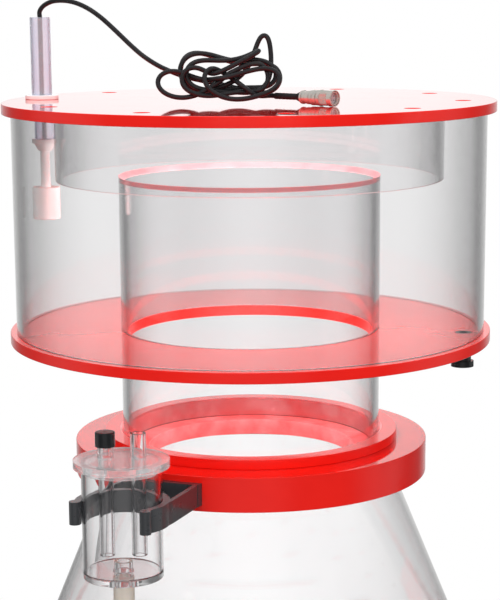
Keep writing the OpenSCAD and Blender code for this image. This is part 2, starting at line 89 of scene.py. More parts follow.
def make_camera():
    data = bpy.data.cameras.new("Camera")
    data.lens = CAMERA_LENS
    data.sensor_width = 36.0
    data.shift_x, data.shift_y = CAMERA_SHIFT
    data.clip_end = 100.0
    camera = bpy.data.objects.new("Camera", data)
    bpy.context.scene.collection.objects.link(camera)
    camera.location = (0.0, -CAMERA_BACK, LID_TOP + CAMERA_UP)
    look = Matrix.Rotation(math.pi / 2 - CAMERA_PITCH, 4, "X")
    camera.matrix_world = Matrix.Translation(camera.location) @ look @ Matrix.Rotation(CAMERA_ROLL, 4, "Z")
    bpy.context.scene.camera = camera


make_camera()

# ---------------------------------------------------------------- mesh tools


def link(obj, body, material=None):
    """Puts a piece in the scene, on its body and material."""
    if obj.name not in bpy.context.scene.collection.objects:
        bpy.context.scene.collection.objects.link(obj)
    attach(obj, body)
    if material:
        obj.data.materials.clear()
        obj.data.materials.append(material)
    return obj


def smooth(obj, weighted=True):
    for face in obj.data.polygons:
        face.use_smooth = True
    if weighted:
        normals = obj.modifiers.new("even_normals", "WEIGHTED_NORMAL")
        normals.keep_sharp = True
    return obj


def rounded(profile, radius, steps=3):
    """The closed profile with each corner cut to an arc of the given radius."""
    points = [Vector(p) for p in profile]
    radii = radius if isinstance(radius, (list, tuple)) else [radius] * len(points)
    out = []
    for i, p in enumerate(points):
        before, after = points[i - 1] - p, points[(i + 1) % len(points)] - p
        cut = min(radii[i], before.length * 0.45, after.length * 0.45)
        if cut < 1e-6:
            out.append(p)
            continue
        a, b = p + before.normalized() * cut, p + after.normalized() * cut
        for k in range(steps + 1):
            t = k / steps
            out.append(a * (1 - t) ** 2 + p * 2 * t * (1 - t) + b * t * t)
    return out


def lathe(name, profile, segments=192, centre=(0.0, 0.0), radius=0.0006, steps=3, ridge=None):
    """A closed solid turned round a vertical axis from (r, z) points.

    ridge is (count, depth, low z, high z): the outer wall between those heights gets that many ribs.
    """
    points = rounded(profile, radius, steps)
    outer = max(p[0] for p in points if not ridge or ridge[2] <= p[1] <= ridge[3])
    verts, faces = [], []
    for s in range(segments):
        a = 2 * math.pi * s / segments
        for p in points:
            r = p[0]
            if ridge and ridge[2] <= p[1] <= ridge[3] and r > outer - ridge[1] * 1.5:
                r -= ridge[1] * (0.5 + 0.5 * math.cos(ridge[0] * a))
            verts.append((centre[0] + r * math.cos(a), centre[1] + r * math.sin(a), p[1]))
    n = len(points)
    for s in range(segments):
        t = (s + 1) % segments
        for i in range(n):
            j = (i + 1) % n
            faces.append((s * n + i, t * n + i, t * n + j, s * n + j))
    mesh = bpy.data.meshes.new(name)
    mesh.from_pydata(verts, [], faces)
    bm = bmesh.new()
    bm.from_mesh(mesh)
    bmesh.ops.remove_doubles(bm, verts=bm.verts, dist=1e-7)
    bmesh.ops.recalc_face_normals(bm, faces=bm.faces)
    bm.to_mesh(mesh)
    bm.free()
    return smooth(bpy.data.objects.new(name, mesh))


def ring_profile(inner, outer, z0, z1):
    return [(inner, z0), (outer, z0), (outer, z1), (inner, z1)]


def circle_spline(curve, x, y, r, points=48):
    spline = curve.splines.new("POLY")
    spline.points.add(points - 1)
    for k in range(points):
        a = 2 * math.pi * k / points
        spline.points[k].co = (x + r * math.cos(a), y + r * math.sin(a), 0, 1)
    spline.use_cyclic_u = True


def plate(name, z0, z1, circles, bevel=0.0006):
    """A sheet cut from circles (x, y, r, points): the first is its rim and the rest are holes."""
    curve = bpy.data.curves.new(name, "CURVE")
    curve.dimensions = "2D"
    curve.fill_mode = "BOTH"
    curve.extrude = (z1 - z0) / 2 - bevel
    curve.bevel_depth = bevel
    curve.bevel_resolution = 2
    curve.offset = -bevel
    for c in circles:
        circle_spline(curve, *c)
    temp = bpy.data.objects.new(name + "_outline", curve)
    bpy.context.scene.collection.objects.link(temp)
    bpy.context.view_layer.update()
    mesh = bpy.data.meshes.new_from_object(temp.evaluated_get(bpy.context.evaluated_depsgraph_get()))
    bpy.data.objects.remove(temp)
    mesh.transform(Matrix.Translation((0, 0, (z0 + z1) / 2)))
    mesh.name = name
    bm = bmesh.new()
    bm.from_mesh(mesh)
    bmesh.ops.remove_doubles(bm, verts=bm.verts, dist=1e-6)
    bmesh.ops.recalc_face_normals(bm, faces=bm.faces)
    bm.to_mesh(mesh)
    bm.free()
    return smooth(bpy.data.objects.new(name, mesh))


def catmull(points, step):
    """Evenly spaced points, step apart, on a smooth curve through the given ones."""
    p = np.array(points, float)
    ext = np.vstack([2 * p[0] - p[1], p, 2 * p[-1] - p[-2]])
    fine = []
    for i in range(len(p) - 1):
        a, b, c, d = ext[i:i + 4]
        for t in np.linspace(0, 1, 24, endpoint=False):
            fine.append(0.5 * (2 * b + (c - a) * t + (2 * a - 5 * b + 4 * c - d) * t * t
                               + (3 * b - a - 3 * c + d) * t ** 3))
    fine.append(p[-1])
    fine = np.array(fine)
    run = np.concatenate([[0], np.cumsum(np.linalg.norm(np.diff(fine, axis=0), axis=1))])
    count = max(2, int(round(run[-1] / step)) + 1)
    at = np.linspace(0, run[-1], count)
    return np.stack([np.interp(at, run, fine[:, k]) for k in range(3)], axis=1)


def path_length(points):
    return float(np.linalg.norm(np.diff(np.array(points), axis=0), axis=1).sum())


def cord_tube(name, points, diameter):
    """A round cord with closed ends through the points."""
    curve = bpy.data.curves.new(name, "CURVE")
    curve.dimensions = "3D"
    curve.bevel_depth = diameter / 2
    curve.bevel_resolution = 5
    curve.use_fill_caps = True
    spline = curve.splines.new("POLY")
    spline.points.add(len(points) - 1)
    for target, p in zip(spline.points, points):
        target.co = (*p, 1)
    spline.use_smooth = True
    temp = bpy.data.objects.new(name, curve)
    bpy.context.scene.collection.objects.link(temp)
    bpy.context.view_layer.update()
    mesh = bpy.data.meshes.new_from_object(temp.evaluated_get(bpy.context.evaluated_depsgraph_get()))
    bpy.data.objects.remove(temp)
    mesh.name = name
    for face in mesh.polygons:
        face.use_smooth = True
    return bpy.data.objects.new(name, mesh)


# ---------------------------------------------------------------- cords

CABLE = 4.5 * MM
SENSOR = mid("sensor_tube")

# The part source's route, in metres: across, away from the front, and up from the lid's top.
CABLE_ROUTE = [
    (-0.1995, 0.0316, 0.0776), (-0.1995, 0.0316, 0.083), (-0.195, 0.029, 0.0885),
    (-0.186, 0.026, 0.0925), (-0.174, 0.020, 0.093), (-0.162, 0.014, 0.0905),
    (-0.150, 0.008, 0.085), (-0.139, 0.003, 0.0775), (-0.129, -0.002, 0.069),
    (-0.119, -0.009, 0.060), (-0.109, -0.016, 0.051), (-0.099, -0.024, 0.043),
    (-0.088, -0.031, 0.036), (-0.076, -0.038, 0.030), (-0.064, -0.044, 0.025)]
PLUG_AT = Vector((0.048, -0.091, LID_TOP + 0.0074))
PLUG_WAY = Vector((math.cos(math.radians(-42)), math.sin(math.radians(-42)), 0))
BOOT_BACK = 0.032


def turn(x, h, across, up, front, back, rising):
    """Half a loop that stands on the lid and bulges right, or left where across is negative.

    It is round (x, h), from depth front to depth back, and it goes up or down.
    """
    out = []
    for k in range(5):
        a = math.radians(-80 + 40 * k)
        out.append((x + across * math.cos(a), front + (back - front) * k / 4, h + up * math.sin(a)))
    return out if rising else out[::-1]


def tangle_route():
    """The loops between the arc from the sensor and the connector's boot, in millimetres."""
    route = [(-52, -48, 22), (-40, -52, 20), (-26, -55, 18), (-12, -58, 14)]
    route += turn(16, 23, 16, 15, -60, -46, True)
    route += [(-4, -48, 34), (-20, -47, 38)]
    route += turn(-50, 29, -15, 20, -56, -47, False)
    route += [(-34, -60, 10), (-18, -62, 16)]
    route += turn(6, 26, 23, 15, -64, -52, True)
    route += [(-14, -52, 36), (-28, -52, 43)]
    route += turn(-47, 30, -19, 18, -62, -52, False)
    route += [(-26, -64, 13), (-10, -60, 20), (0, -54, 32), (5, -49, 46), (9, -46, 58), (12, -45, 65),
              (15, -45, 67), (18, -46, 64), (20, -47, 54), (21, -49, 40), (21, -53, 26), (17, -58, 13),
              (6, -62, 9), (-8, -64, 12)]
    route += turn(-48, 27, -12, 14, -66, -58, True)
    route += [(-30, -60, 39), (-14, -60, 38), (0, -58, 43), (9, -56, 48), (13, -57, 51), (13, -60, 50),
              (8, -62, 45), (-4, -64, 38), (-18, -66, 32), (-32, -68, 24)]
    route += turn(-42, 22, -23, 15, -74, -64, False)
    route += [(-24, -74, 8), (-10, -72, 14)]
    route += turn(6, 24, 14, 17, -72, -62, True)
    route += [(-10, -66, 33), (-26, -68, 22), (-42, -72, 10), (-56, -72, 5), (-71, -70, 6),
              (-83, -66, 12), (-87, -61, 21), (-82, -57, 29), (-70, -58, 32), (-56, -61, 28),
              (-44, -64, 20), (-30, -70, 22)]
    route += turn(13, 22, 19, 12, -80, -66, False)
    route += [(-6, -82, 4), (-22, -82, 5), (-36, -80, 12), (-44, -74, 24), (-38, -66, 34),
              (-24, -62, 30), (-10, -70, 20), (2, -76, 9)]
    return [(x * MM, y * MM, h * MM) for x, y, h in route]


def settle(points, diameter, fixed_start, fixed_end, rounds=90):
    """Pushes a cord's own turns apart until they touch at most, and keeps them on the lid."""
    p = points.copy()
    n = len(p)
    index = np.arange(n)
    apart = np.abs(index[:, None] - index[None, :]) > 6
    step = np.linalg.norm(points[1] - points[0])
    free = np.ones(n)
    free[:fixed_start] = 0
    free[n - fixed_end:] = 0
    for _ in range(rounds):
        gap = p[:, None, :] - p[None, :, :]
        far = np.linalg.norm(gap, axis=2) + 1e-9
        near = apart & (far < diameter * 1.03)
        push = np.where(near[..., None], gap / far[..., None] * (diameter * 1.03 - far)[..., None], 0).sum(1)
        p += 0.35 * push * free[:, None]
        even = np.zeros_like(p)
        even[1:-1] = (p[:-2] + p[2:]) / 2 - p[1:-1]
        p += 0.35 * even * free[:, None]
        p[:, 2] = np.where(free > 0, np.maximum(p[:, 2], diameter / 2 + 0.0002), p[:, 2])
        edge = p[1:] - p[:-1]
        size = np.linalg.norm(edge, axis=1, keepdims=True)
        fix = edge * (1 - step / size) * 0.5
        p[:-1] += 0.5 * fix * free[:-1, None]
        p[1:] -= 0.5 * fix * free[1:, None]
    return p


def make_cable():
    boot_back = PLUG_AT - PLUG_WAY * BOOT_BACK
    tail = [(0.010, -0.070, 0.0065), tuple(boot_back - PLUG_WAY * 0.008 - Vector((0, 0, LID_TOP))),
            tuple(boot_back + PLUG_WAY * 0.002 - Vector((0, 0, LID_TOP)))]
    route = CABLE_ROUTE + tangle_route() + tail
    start = int(path_length(catmull(CABLE_ROUTE, 0.0022)) / 0.0022) - 8
    line = settle(catmull(route, 0.0022), CABLE, start, 6)
    line[:, 2] += LID_TOP
    cable = cord_tube("sensor_cable", line, CABLE)
    link(cable, "cover")
    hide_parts("cable", "cable_tangle")
    return cable, line


sensor_cable, cable_line = make_cable()

HOSE = 19 * MM
HOSE_ROUTE = [
    (-112.1, -220.1, 446), (-112.1, -220.1, 434), (-112.7, -221, 420), (-115, -223, 404),
    (-119, -226, 388), (-125, -229, 372), (-133, -231, 356), (-143, -232, 340),
    (-155, -232, 324), (-168, -231, 309), (-182, -228, 295), (-196, -223, 282),
    (-211, -217, 268), (-225, -210, 255), (-239, -202, 243), (-253, -193, 232),
    (-267, -183, 223), (-280, -171, 214), (-293, -158, 205), (-305, -145, 196),
    (-316, -131, 187), (-326, -118, 178), (-334, -106, 168), (-340, -96, 157),
    (-344, -88, 145), (-345, -84, 132), (-345, -84, 118)]


def make_hose():
    route = [tuple(c * MM for c in p) for p in HOSE_ROUTE]
    line = catmull(route, 0.006)
    hose = cord_tube("silencer_hose", line, HOSE)
    link(hose, "stand")
    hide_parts("air_hose")
    return hose, line


silencer_hose, hose_line = make_hose()

# ---------------------------------------------------------------- materials


class Look:
    """A Principled material and the few nodes that most looks share. Coordinates are the row frame's."""

    def __init__(self, name, colour, rough, ior=1.46, metal=0.0, **sockets):
        self.material = bpy.data.materials.new(name)
        self.material.use_nodes = True
        self.tree = self.material.node_tree
        self.tree.nodes.clear()
        self.out = self.add("ShaderNodeOutputMaterial")
        self.shader = self.add("ShaderNodeBsdfPrincipled")
        self.join(self.shader.outputs[0], self.out.inputs[0])
        self.set("Base Color", (*colour, 1))
        self.set("Roughness", rough)
        self.set("IOR", ior)
        self.set("Metallic", metal)
        for key, value in sockets.items():
            self.set(key.replace("_", " "), value)
        self.where = self.add("ShaderNodeTexCoord").outputs["Object"]

    def add(self, kind):
        return self.tree.nodes.new(kind)

    def join(self, a, b):
        self.tree.links.new(a, b)

    def set(self, socket, value):
        self.shader.inputs[socket].default_value = value

    def stretched(self, scale):
        node = self.add("ShaderNodeMapping")
        node.inputs["Scale"].default_value = scale
        self.join(self.where, node.inputs["Vector"])
        return node.outputs[0]

    def noise(self, scale, detail=3.0, rough=0.5, stretch=None):
        node = self.add("ShaderNodeTexNoise")
        node.inputs["Scale"].default_value = scale
        node.inputs["Detail"].default_value = detail
        node.inputs["Roughness"].default_value = rough
        self.join(self.stretched(stretch) if stretch else self.where, node.inputs["Vector"])
        return node.outputs["Fac"]

    def between(self, value, low, high, to_low, to_high):
        """value from low..high mapped to to_low..to_high, and held at the ends."""
        node = self.add("ShaderNodeMapRange")
        self.join(value, node.inputs["Value"])
        for key, number in (("From Min", low), ("From Max", high), ("To Min", to_low), ("To Max", to_high)):
            node.inputs[key].default_value = number
        return node.outputs[0]

    def maths(self, operation, a, b=0.0):
        node = self.add("ShaderNodeMath")
        node.operation = operation
        for socket, value in zip(node.inputs, (a, b)):
            if isinstance(value, (int, float)):
                socket.default_value = value
            else:
                self.join(value, socket)
        return node.outputs[0]

    def blend(self, share, first, second):
        node = self.add("ShaderNodeMix")
        node.data_type = "RGBA"
        self.join(share, node.inputs[0])
        for socket, value in ((node.inputs[6], first), (node.inputs[7], second)):
            if isinstance(value, tuple):
                socket.default_value = (*value, 1)
            else:
                self.join(value, socket)
        return node.outputs[2]

    def steps(self, value, stops):
        node = self.add("ShaderNodeValToRGB")
        ramp = node.color_ramp
        while len(ramp.elements) < len(stops):
            ramp.elements.new(0.5)
        for element, (at, colour) in zip(ramp.elements, stops):
            element.position = at
            element.color = (*colour, 1)
        self.join(value, node.inputs[0])
        return node.outputs[0]

    def colour(self, socket):
        self.join(socket, self.shader.inputs["Base Color"])
        return self

    def roughness(self, socket):
        self.join(socket, self.shader.inputs["Roughness"])
        return self

    def bump(self, height, strength, distance):
        node = self.add("ShaderNodeBump")
        node.inputs["Strength"].default_value = strength
        node.inputs["Distance"].default_value = distance
        self.join(height, node.inputs["Height"])
        self.join(node.outputs[0], self.shader.inputs["Normal"])
        return self

    def upright(self):
        """1 on level faces and 0 on upright ones."""
        node = self.add("ShaderNodeSeparateXYZ")
        self.join(self.add("ShaderNodeNewGeometry").outputs["Normal"], node.inputs[0])
        return self.maths("ABSOLUTE", node.outputs[2])

    def from_axis(self):
        """Distance from the body's axis, in metres."""
        parts = self.add("ShaderNodeSeparateXYZ")
        self.join(self.where, parts.inputs[0])
        x2 = self.maths("POWER", self.maths("ABSOLUTE", parts.outputs[0]), 2.0)
        y2 = self.maths("POWER", self.maths("ABSOLUTE", parts.outputs[1]), 2.0)
        return self.maths("SQRT", self.maths("ADD", x2, y2))

    def lets_light_in(self, tint):
        """Lamps shine through: their rays meet a plain clear filter in place of the glass."""
        clear = self.add("ShaderNodeBsdfTransparent")
        clear.inputs[0].default_value = (*tint, 1)
        mix = self.add("ShaderNodeMixShader")
        self.join(self.add("ShaderNodeLightPath").outputs["Is Shadow Ray"], mix.inputs[0])
        self.join(self.shader.outputs[0], mix.inputs[1])
        self.join(clear.outputs[0], mix.inputs[2])
        self.join(mix.outputs[0], self.out.inputs[0])
        return self


RED = (0.86, 0.013, 0.007)
RED_DEEP = (0.78, 0.009, 0.005)
# pink of the socket's glue haze, partly painted reflection
RED_HAZE_AND_SHEEN = (0.95, 0.30, 0.31)


def red_acrylic(name, polish, haze_and_sheen_to=None):
    """Opaque cast sheet: faces polished by that much, finely sawn edges. The radius given last is the one
    inside which the solvent-welded socket is clouded pink in blotches: glue haze, with painted reflection in
    it."""
    look = Look(name, RED, 0.06, ior=1.49, Coat_Roughness=0.03, Coat_IOR=1.6)
    look.join(look.between(look.upright(), 0.3, 0.7, 0.0, polish), look.shader.inputs["Coat Weight"])
    cloud = look.noise(9.0, 4.0)
    base = look.blend(look.between(cloud, 0.35, 0.65, 0.0, 1.0), RED_DEEP, RED)
    if haze_and_sheen_to:
        # pink blotches inside the socket: glue haze, partly painted reflection
        blotch = look.between(look.noise(30.0, 4.0, 0.55), 0.35, 0.7, 0.25, 0.8)
        inside = look.between(look.from_axis(), haze_and_sheen_to - 0.001, haze_and_sheen_to, 1.0, 0.0)
        base = look.blend(look.maths("MULTIPLY", blotch, inside), base, RED_HAZE_AND_SHEEN)
    look.colour(base)
    sawn = look.between(look.upright(), 0.3, 0.7, 1.0, 0.0)
    wipe = look.between(look.noise(30.0, 6.0, 0.7), 0.3, 0.75, 0.03, 0.13)
    look.roughness(look.maths("ADD", wipe, look.maths("MULTIPLY", sawn, 0.09)))
    lines = look.noise(900.0, 2.0, 0.5, stretch=(0.05, 0.05, 1.0))
    waves = look.noise(26.0, 2.0)
    height = look.maths("ADD", look.maths("MULTIPLY", look.maths("MULTIPLY", lines, sawn), 0.05), waves)
    return look.bump(height, 0.12, 0.0006).material


def clear_acrylic(name, stops, rough=0.0, milk=0.0):
    """Clear tube. stops are (how far it is turned from facing, how much passes one face): painted edge shade,
    which darkens a wall towards its silhouette where it is seen along its length. milk is the share of light
    that its faces scatter."""
    look = Look(name, (0.9, 0.9, 0.9), rough, ior=1.49, Transmission_Weight=1.0 - milk)
    # painted edge shade: the base colour falls off as the wall turns away from facing
    facing = look.add("ShaderNodeLayerWeight")
    facing.inputs["Blend"].default_value = 0.5
    look.colour(look.steps(facing.outputs["Facing"], [(at, (v, v * 0.997, v)) for at, v in stops]))
    marks = look.noise(6.0, 8.0, 0.75, stretch=(1.0, 1.0, 4.0))
    look.roughness(look.between(marks, 0.55, 0.85, rough, rough + 0.05))
    return look.lets_light_in((0.95, 0.95, 0.955)).material


def piped_edge():
    """The sawn end of a clear tube, with painted red light and a painted glow for the light that the sheet it
    stands on pipes into it.
    """
    look = Look("piped_edge", (0.85, 0.26, 0.30), 0.3, ior=1.49, Transmission_Weight=0.6)
    # painted glow: emission standing in for light piped from the red sheet; the two pinks below are painted
    # light too
    look.set("Emission Color", (0.95, 0.45, 0.48, 1))
    look.set("Emission Strength", 0.3)
    streak = look.noise(40.0, 3.0)
    look.colour(look.blend(look.between(streak, 0.3, 0.7, 0.0, 1.0), (0.88, 0.34, 0.37), (0.93, 0.60, 0.62)))
    return look.lets_light_in((0.9, 0.5, 0.5)).material


def plain_plastic(name, colour, rough, grain=400.0, depth=0.00004, coat=0.0, varied=0.12, ior=1.46):
    look = Look(name, colour, rough, ior=ior, Coat_Weight=coat, Coat_Roughness=0.08)
    darker = tuple(c * (1 - varied) for c in colour)
    look.colour(look.blend(look.between(look.noise(40.0, 4.0), 0.3, 0.7, 0.0, 1.0), darker, colour))
    look.roughness(look.between(look.noise(120.0, 4.0), 0.3, 0.7, rough * 0.85, min(1.0, rough * 1.2)))
    return look.bump(look.noise(grain, 3.0), 0.35, depth).material


def foam_plastic():
    """The float's closed-cell foam: fine cells and a soft scatter."""
    look = Look("float_foam", (0.93, 0.92, 0.90), 0.6, Subsurface_Weight=0.25)
    look.set("Subsurface Radius", (0.004, 0.004, 0.004))
    cells = look.add("ShaderNodeTexVoronoi")
    cells.inputs["Scale"].default_value = 700.0
    look.join(look.where, cells.inputs["Vector"])
    stain = look.between(look.noise(60.0, 4.0), 0.45, 0.75, 0.0, 0.5)
    look.colour(look.blend(stain, (0.93, 0.92, 0.90), (0.84, 0.80, 0.74)))
    return look.bump(cells.outputs["Distance"], 0.4, 0.00025).material


def milky_tube():
    look = Look("sensor_milky", (0.80, 0.81, 0.93), 0.22, ior=1.3, Transmission_Weight=0.8)
    look.set("Subsurface Radius", (0.003, 0.003, 0.004))
    streak = look.noise(90.0, 3.0, 0.5, stretch=(1.0, 1.0, 0.15))
    # painted edge shade: the body colour darkens and turns blue-grey towards the silhouette
    facing = look.add("ShaderNodeLayerWeight")
    facing.inputs["Blend"].default_value = 0.5
    body = look.steps(facing.outputs["Facing"], [(0.0, (0.95, 0.93, 0.955)), (0.55, (0.87, 0.86, 0.94)),
                                                 (1.0, (0.50, 0.50, 0.68))])
    look.colour(look.blend(look.between(streak, 0.35, 0.7, 0.0, 0.5), body, (0.84, 0.84, 0.94)))
    return look.lets_light_in((0.85, 0.86, 0.95)).material


def milky_hose():
    look = Look("hose_silicone", (0.87, 0.80, 0.68), 0.35, ior=1.41, Transmission_Weight=0.25,
                Subsurface_Weight=0.4)
    look.set("Subsurface Radius", (0.006, 0.005, 0.004))
    stain = look.between(look.noise(35.0, 4.0), 0.35, 0.7, 0.0, 1.0)
    look.colour(look.blend(stain, (0.86, 0.78, 0.70), (0.75, 0.65, 0.55)))
    return look.bump(look.noise(260.0, 2.0), 0.2, 0.0001).material


def cable_jacket():
    look = Look("cable_jacket", (0.012, 0.012, 0.013), 0.34, ior=1.5)
    look.roughness(look.between(look.noise(160.0, 4.0), 0.3, 0.7, 0.24, 0.42))
    dust = look.between(look.noise(70.0, 5.0), 0.55, 0.8, 0.0, 0.35)
    look.colour(look.blend(dust, (0.012, 0.012, 0.013), (0.05, 0.048, 0.046)))
    return look.bump(look.noise(500.0, 2.0), 0.08, 0.00005).material


def metal(name, colour, rough, brushed=False, bare=1.0):
    look = Look(name, colour, rough, metal=bare)
    stretch = (1.0, 1.0, 12.0) if brushed else None
    look.roughness(look.between(look.noise(300.0, 4.0, 0.6, stretch), 0.3, 0.7, rough * 0.7, rough * 1.4))
    stain = look.between(look.noise(150.0, 3.0), 0.5, 0.8, 0.0, 0.5)
    look.colour(look.blend(stain, colour, tuple(c * 0.72 for c in colour)))
    return look.bump(look.noise(1500.0, 2.0), 0.15, 0.00003).material


LOOKS = {
    "red": red_acrylic("red_sheet", 0.35),
    "red_lid": red_acrylic("red_lid", 0.9),
    "red_socket": red_acrylic("red_socket", 0.2, haze_and_sheen_to=0.1285),
    "clear": clear_acrylic("clear_cup", [(0, 0.955), (0.2, 0.95), (0.4, 0.92), (0.57, 0.87), (0.70, 0.80),
                                         (0.82, 0.46), (1.0, 0.26)]),
    "clear_neck": clear_acrylic("clear_neck", [(0, 0.975), (0.4, 0.96), (0.7, 0.88), (0.83, 0.46),
                                               (1.0, 0.26)]),
    "clear_cone": clear_acrylic("clear_cone", [(0, 1.0), (0.5, 0.99), (0.80, 0.95), (0.90, 0.55),
                                               (1.0, 0.3)]),
    "clear_small": clear_acrylic("clear_fitting", [(0, 0.99), (0.45, 0.975), (0.75, 0.88), (0.87, 0.5),
                                                   (1.0, 0.3)]),
    "clear_pot": clear_acrylic("clear_pot", [(0, 1.0), (0.45, 0.99), (0.72, 0.93), (0.86, 0.42), (1.0, 0.2)]),
    "clear_lid": clear_acrylic("clear_lid", [(0, 1.0), (0.6, 0.98), (0.85, 0.95), (1.0, 0.85)], rough=0.1,
                               milk=0.16),
    "piped": piped_edge(),
    "white": plain_plastic("white_moulded", (0.88, 0.87, 0.85), 0.35, coat=0.2, varied=0.05),
    "float": foam_plastic(),
    "milky": milky_tube(),
    "hose": milky_hose(),
    "cable": cable_jacket(),
    "clip": plain_plastic("clip_grey", (0.038, 0.040, 0.044), 0.3, grain=700.0, depth=0.00001, coat=0.4),
    "fitting": plain_plastic("fitting_grey", (0.115, 0.12, 0.13), 0.38, grain=500.0, coat=0.15),
    "gloss_black": plain_plastic("gloss_black", (0.008, 0.009, 0.010), 0.2, coat=0.3),
    "motor": plain_plastic("motor_black", (0.016, 0.017, 0.02), 0.42, grain=500.0),
    "rubber": plain_plastic("black_rubber", (0.014, 0.014, 0.015), 0.55, grain=900.0, depth=0.00008),
    "nickel": metal("nickel_plate", (0.82, 0.79, 0.72), 0.13, bare=0.85),
    "steel": metal("stainless", (0.62, 0.62, 0.61), 0.26, brushed=True),
    "ceramic": plain_plastic("ceramic_white", (0.90, 0.88, 0.83), 0.12, grain=200.0, coat=0.6, varied=0.03),
    "magnet": plain_plastic("magnet_resin", (0.05, 0.05, 0.055), 0.28, coat=0.4),
    "insert": plain_plastic("insert_grey", (0.42, 0.42, 0.43), 0.4, grain=900.0),
    "diffuser": plain_plastic("diffuser_white", (0.80, 0.80, 0.79), 0.45, grain=300.0, varied=0.06),
}


def dress(node, look, bevel=0.0, segments=2):
    """A CAD node that stays, with its material and, where it has edges to soften, a bevel."""
    obj = nodes[node]
    obj.data.materials.clear()
    obj.data.materials.append(LOOKS[look])
    if bevel:
        soften = obj.modifiers.new("soft_edges", "BEVEL")
        soften.width = bevel
        soften.segments = segments
        soften.limit_method = "ANGLE"
        soften.angle_limit = math.radians(40)
        soften.harden_normals = True
    return obj


sensor_cable.data.materials.append(LOOKS["cable"])
silencer_hose.data.materials.append(LOOKS["hose"])

# ---------------------------------------------------------------- turned and cut pieces

SKIN = 0.05          # kept between glued faces, in mm, so that no two faces share a plane


def turned(node, body, slot, look, profile, at=(0.0, 0.0), segments=192, radius=0.6, **more):
    """A vertical turned piece from (r, z) points in millimetres, in place of a CAD node."""
    piece = lathe("turned_" + node, [(r * MM, z * MM) for r, z in profile], segments=segments, centre=at,
                  radius=radius * MM, **more)
    link(piece, body, LOOKS[look])
    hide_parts(node)
    return piece


def tube_like(node, body, slot, look, wall, at=(0.0, 0.0), segments=192, radius=0.5):
    """A plain tube over a CAD node's own height and outer radius."""
    low, high = lo(node) / MM, hi(node) / MM
    outer = (high.x - low.x) / 2
    return turned(node, body, slot, look, ring_profile(outer - wall, outer, low.z + SKIN, high.z - SKIN),
                  at=at, segments=segments, radius=radius)


def cut_sheet(node, body, look, circles):
    low, high = lo(node), hi(node)
    scaled = [(x * MM, y * MM, r * MM, n) for x, y, r, n in circles]
    piece = plate("cut_" + node, low.z, high.z, scaled, 0.7 * MM)
    link(piece, body, LOOKS[look])
    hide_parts(node)
    return piece


def lid_circles():
    circles = [(0, 0, 233.5, 288)]
    for k in range(10):
        a = math.radians(-45 + 36 * k)
        circles.append((202 * math.cos(a), 202 * math.sin(a), 11.1 if k == 6 else 7.5, 48))
    return circles


def pipe_light(piece, low, high):
    """Gives the faces wholly between those heights the painted light and glow of a lit sawn edge."""
    piece.data.materials.append(LOOKS["piped"])
    verts = piece.data.vertices
    for face in piece.data.polygons:
        if all(low <= verts[i].co.z <= high for i in face.vertices):
            face.material_index = 1
    return piece


DRAIN = mid("drain_nipple")

cut_sheet("lid", "cover", "red_lid", lid_circles())
pipe_light(tube_like("lid_skirt", "cover", "clear_acrylic", "clear_neck", 4.5), 0.776, 0.7773)
tube_like("cup_tube", "cup", "clear_acrylic", "clear", 5)
cut_sheet("cup_floor", "cup", "red",
          [(0, 0, 231, 288), (0, 0, 117.5, 192), (DRAIN.x / MM, DRAIN.y / MM, 8, 48)])
pipe_light(turned("riser_tube", "cup", "clear_acrylic", "clear_neck",
                  [(120, 633.05), (125, 633.05), (125, 780), (120.2, 775.2)], radius=0.4), 0.7745, 0.781)
tube_like("neck_tube", "cup", "clear_acrylic", "clear_neck", 5)
turned("neck_ring", "cup", "red_acrylic", "red_socket",
       [(100, 501), (132, 501), (132, 505), (128.5, 505), (128.5, 509), (132, 509), (132, 515), (128.5, 515),
        (128.5, 519), (132, 519), (132, 525.05), (142.5, 525.05), (142.5, 534), (127.2, 534), (125.15, 532),
        (125.15, 516), (100, 516)], radius=0.5)
turned("collar", "stand", "red_acrylic", "red",
       [(138.3, 492.5), (171, 492.5), (171, 525), (132.5, 525), (132.5, 501), (123, 501), (123, 498.5),
        (138.3, 498.5)], radius=0.7)
turned("cone", "stand", "clear_acrylic", "clear_cone",
       [(244.6, 220.05), (250, 220.05), (135.6, 498.3), (130.2, 498.3)], radius=0.3)
tube_like("joint_ring", "stand", "red_acrylic", "red", 11.9)

# ---------------------------------------------------------------- the float switch

HERE = (SENSOR.x, SENSOR.y)

turned("sensor_bushing", "cover", "white_plastic", "white",
       [(9.8, 838), (11, 838), (11, 850.05), (16, 850.05), (16, 854), (9.8, 854)], at=HERE, segments=64)
turned("sensor_tube", "cover", "sensor_plastic", "milky",
       ring_profile(7.7, 9.7, 812.05, 927.6), at=HERE, segments=96, radius=0.7)
turned("sensor_holder", "cover", "white_plastic", "white",
       [(4.9, 800.5), (6.5, 800.5), (11, 808), (13, 808), (13, 812), (7.5, 812), (7.5, 812.4), (4.9, 812.4)],
       at=HERE, segments=64, radius=0.35)
turned("float", "sensor_float", "white_plastic", "float",
       [(8, 734.8), (14, 734.8), (14, 765.5), (5.1, 765.5), (5.1, 739.8), (8, 739.8)], at=HERE, segments=72,
       radius=0.9)

# ---------------------------------------------------------------- the connector


def along(name, profile, segments=64, radius=0.25, **more):
    """A turned piece on the connector's axis, from (r, distance from the boot's front) in millimetres."""
    piece = lathe(name, [(r * MM, s * MM) for r, s in profile], segments=segments, radius=radius * MM, **more)
    spin = PLUG_WAY.to_track_quat("Z", "Y").to_matrix().to_4x4()
    piece.data.transform(Matrix.Translation(PLUG_AT) @ spin)
    return piece


def boot_profile():
    """A strain relief with moulded rings that thickens towards the connector."""
    points = [(2.3, -32)]
    for k in range(6):
        s = -32 + 4.2 * k
        points += [(2.9, s + 0.1), (2.9, s + 2.9), (2.55, s + 3.1), (2.55, s + 3.9)]
    return points + [(2.9, -6.4), (5.3, -0.1), (2.3, -0.1)]


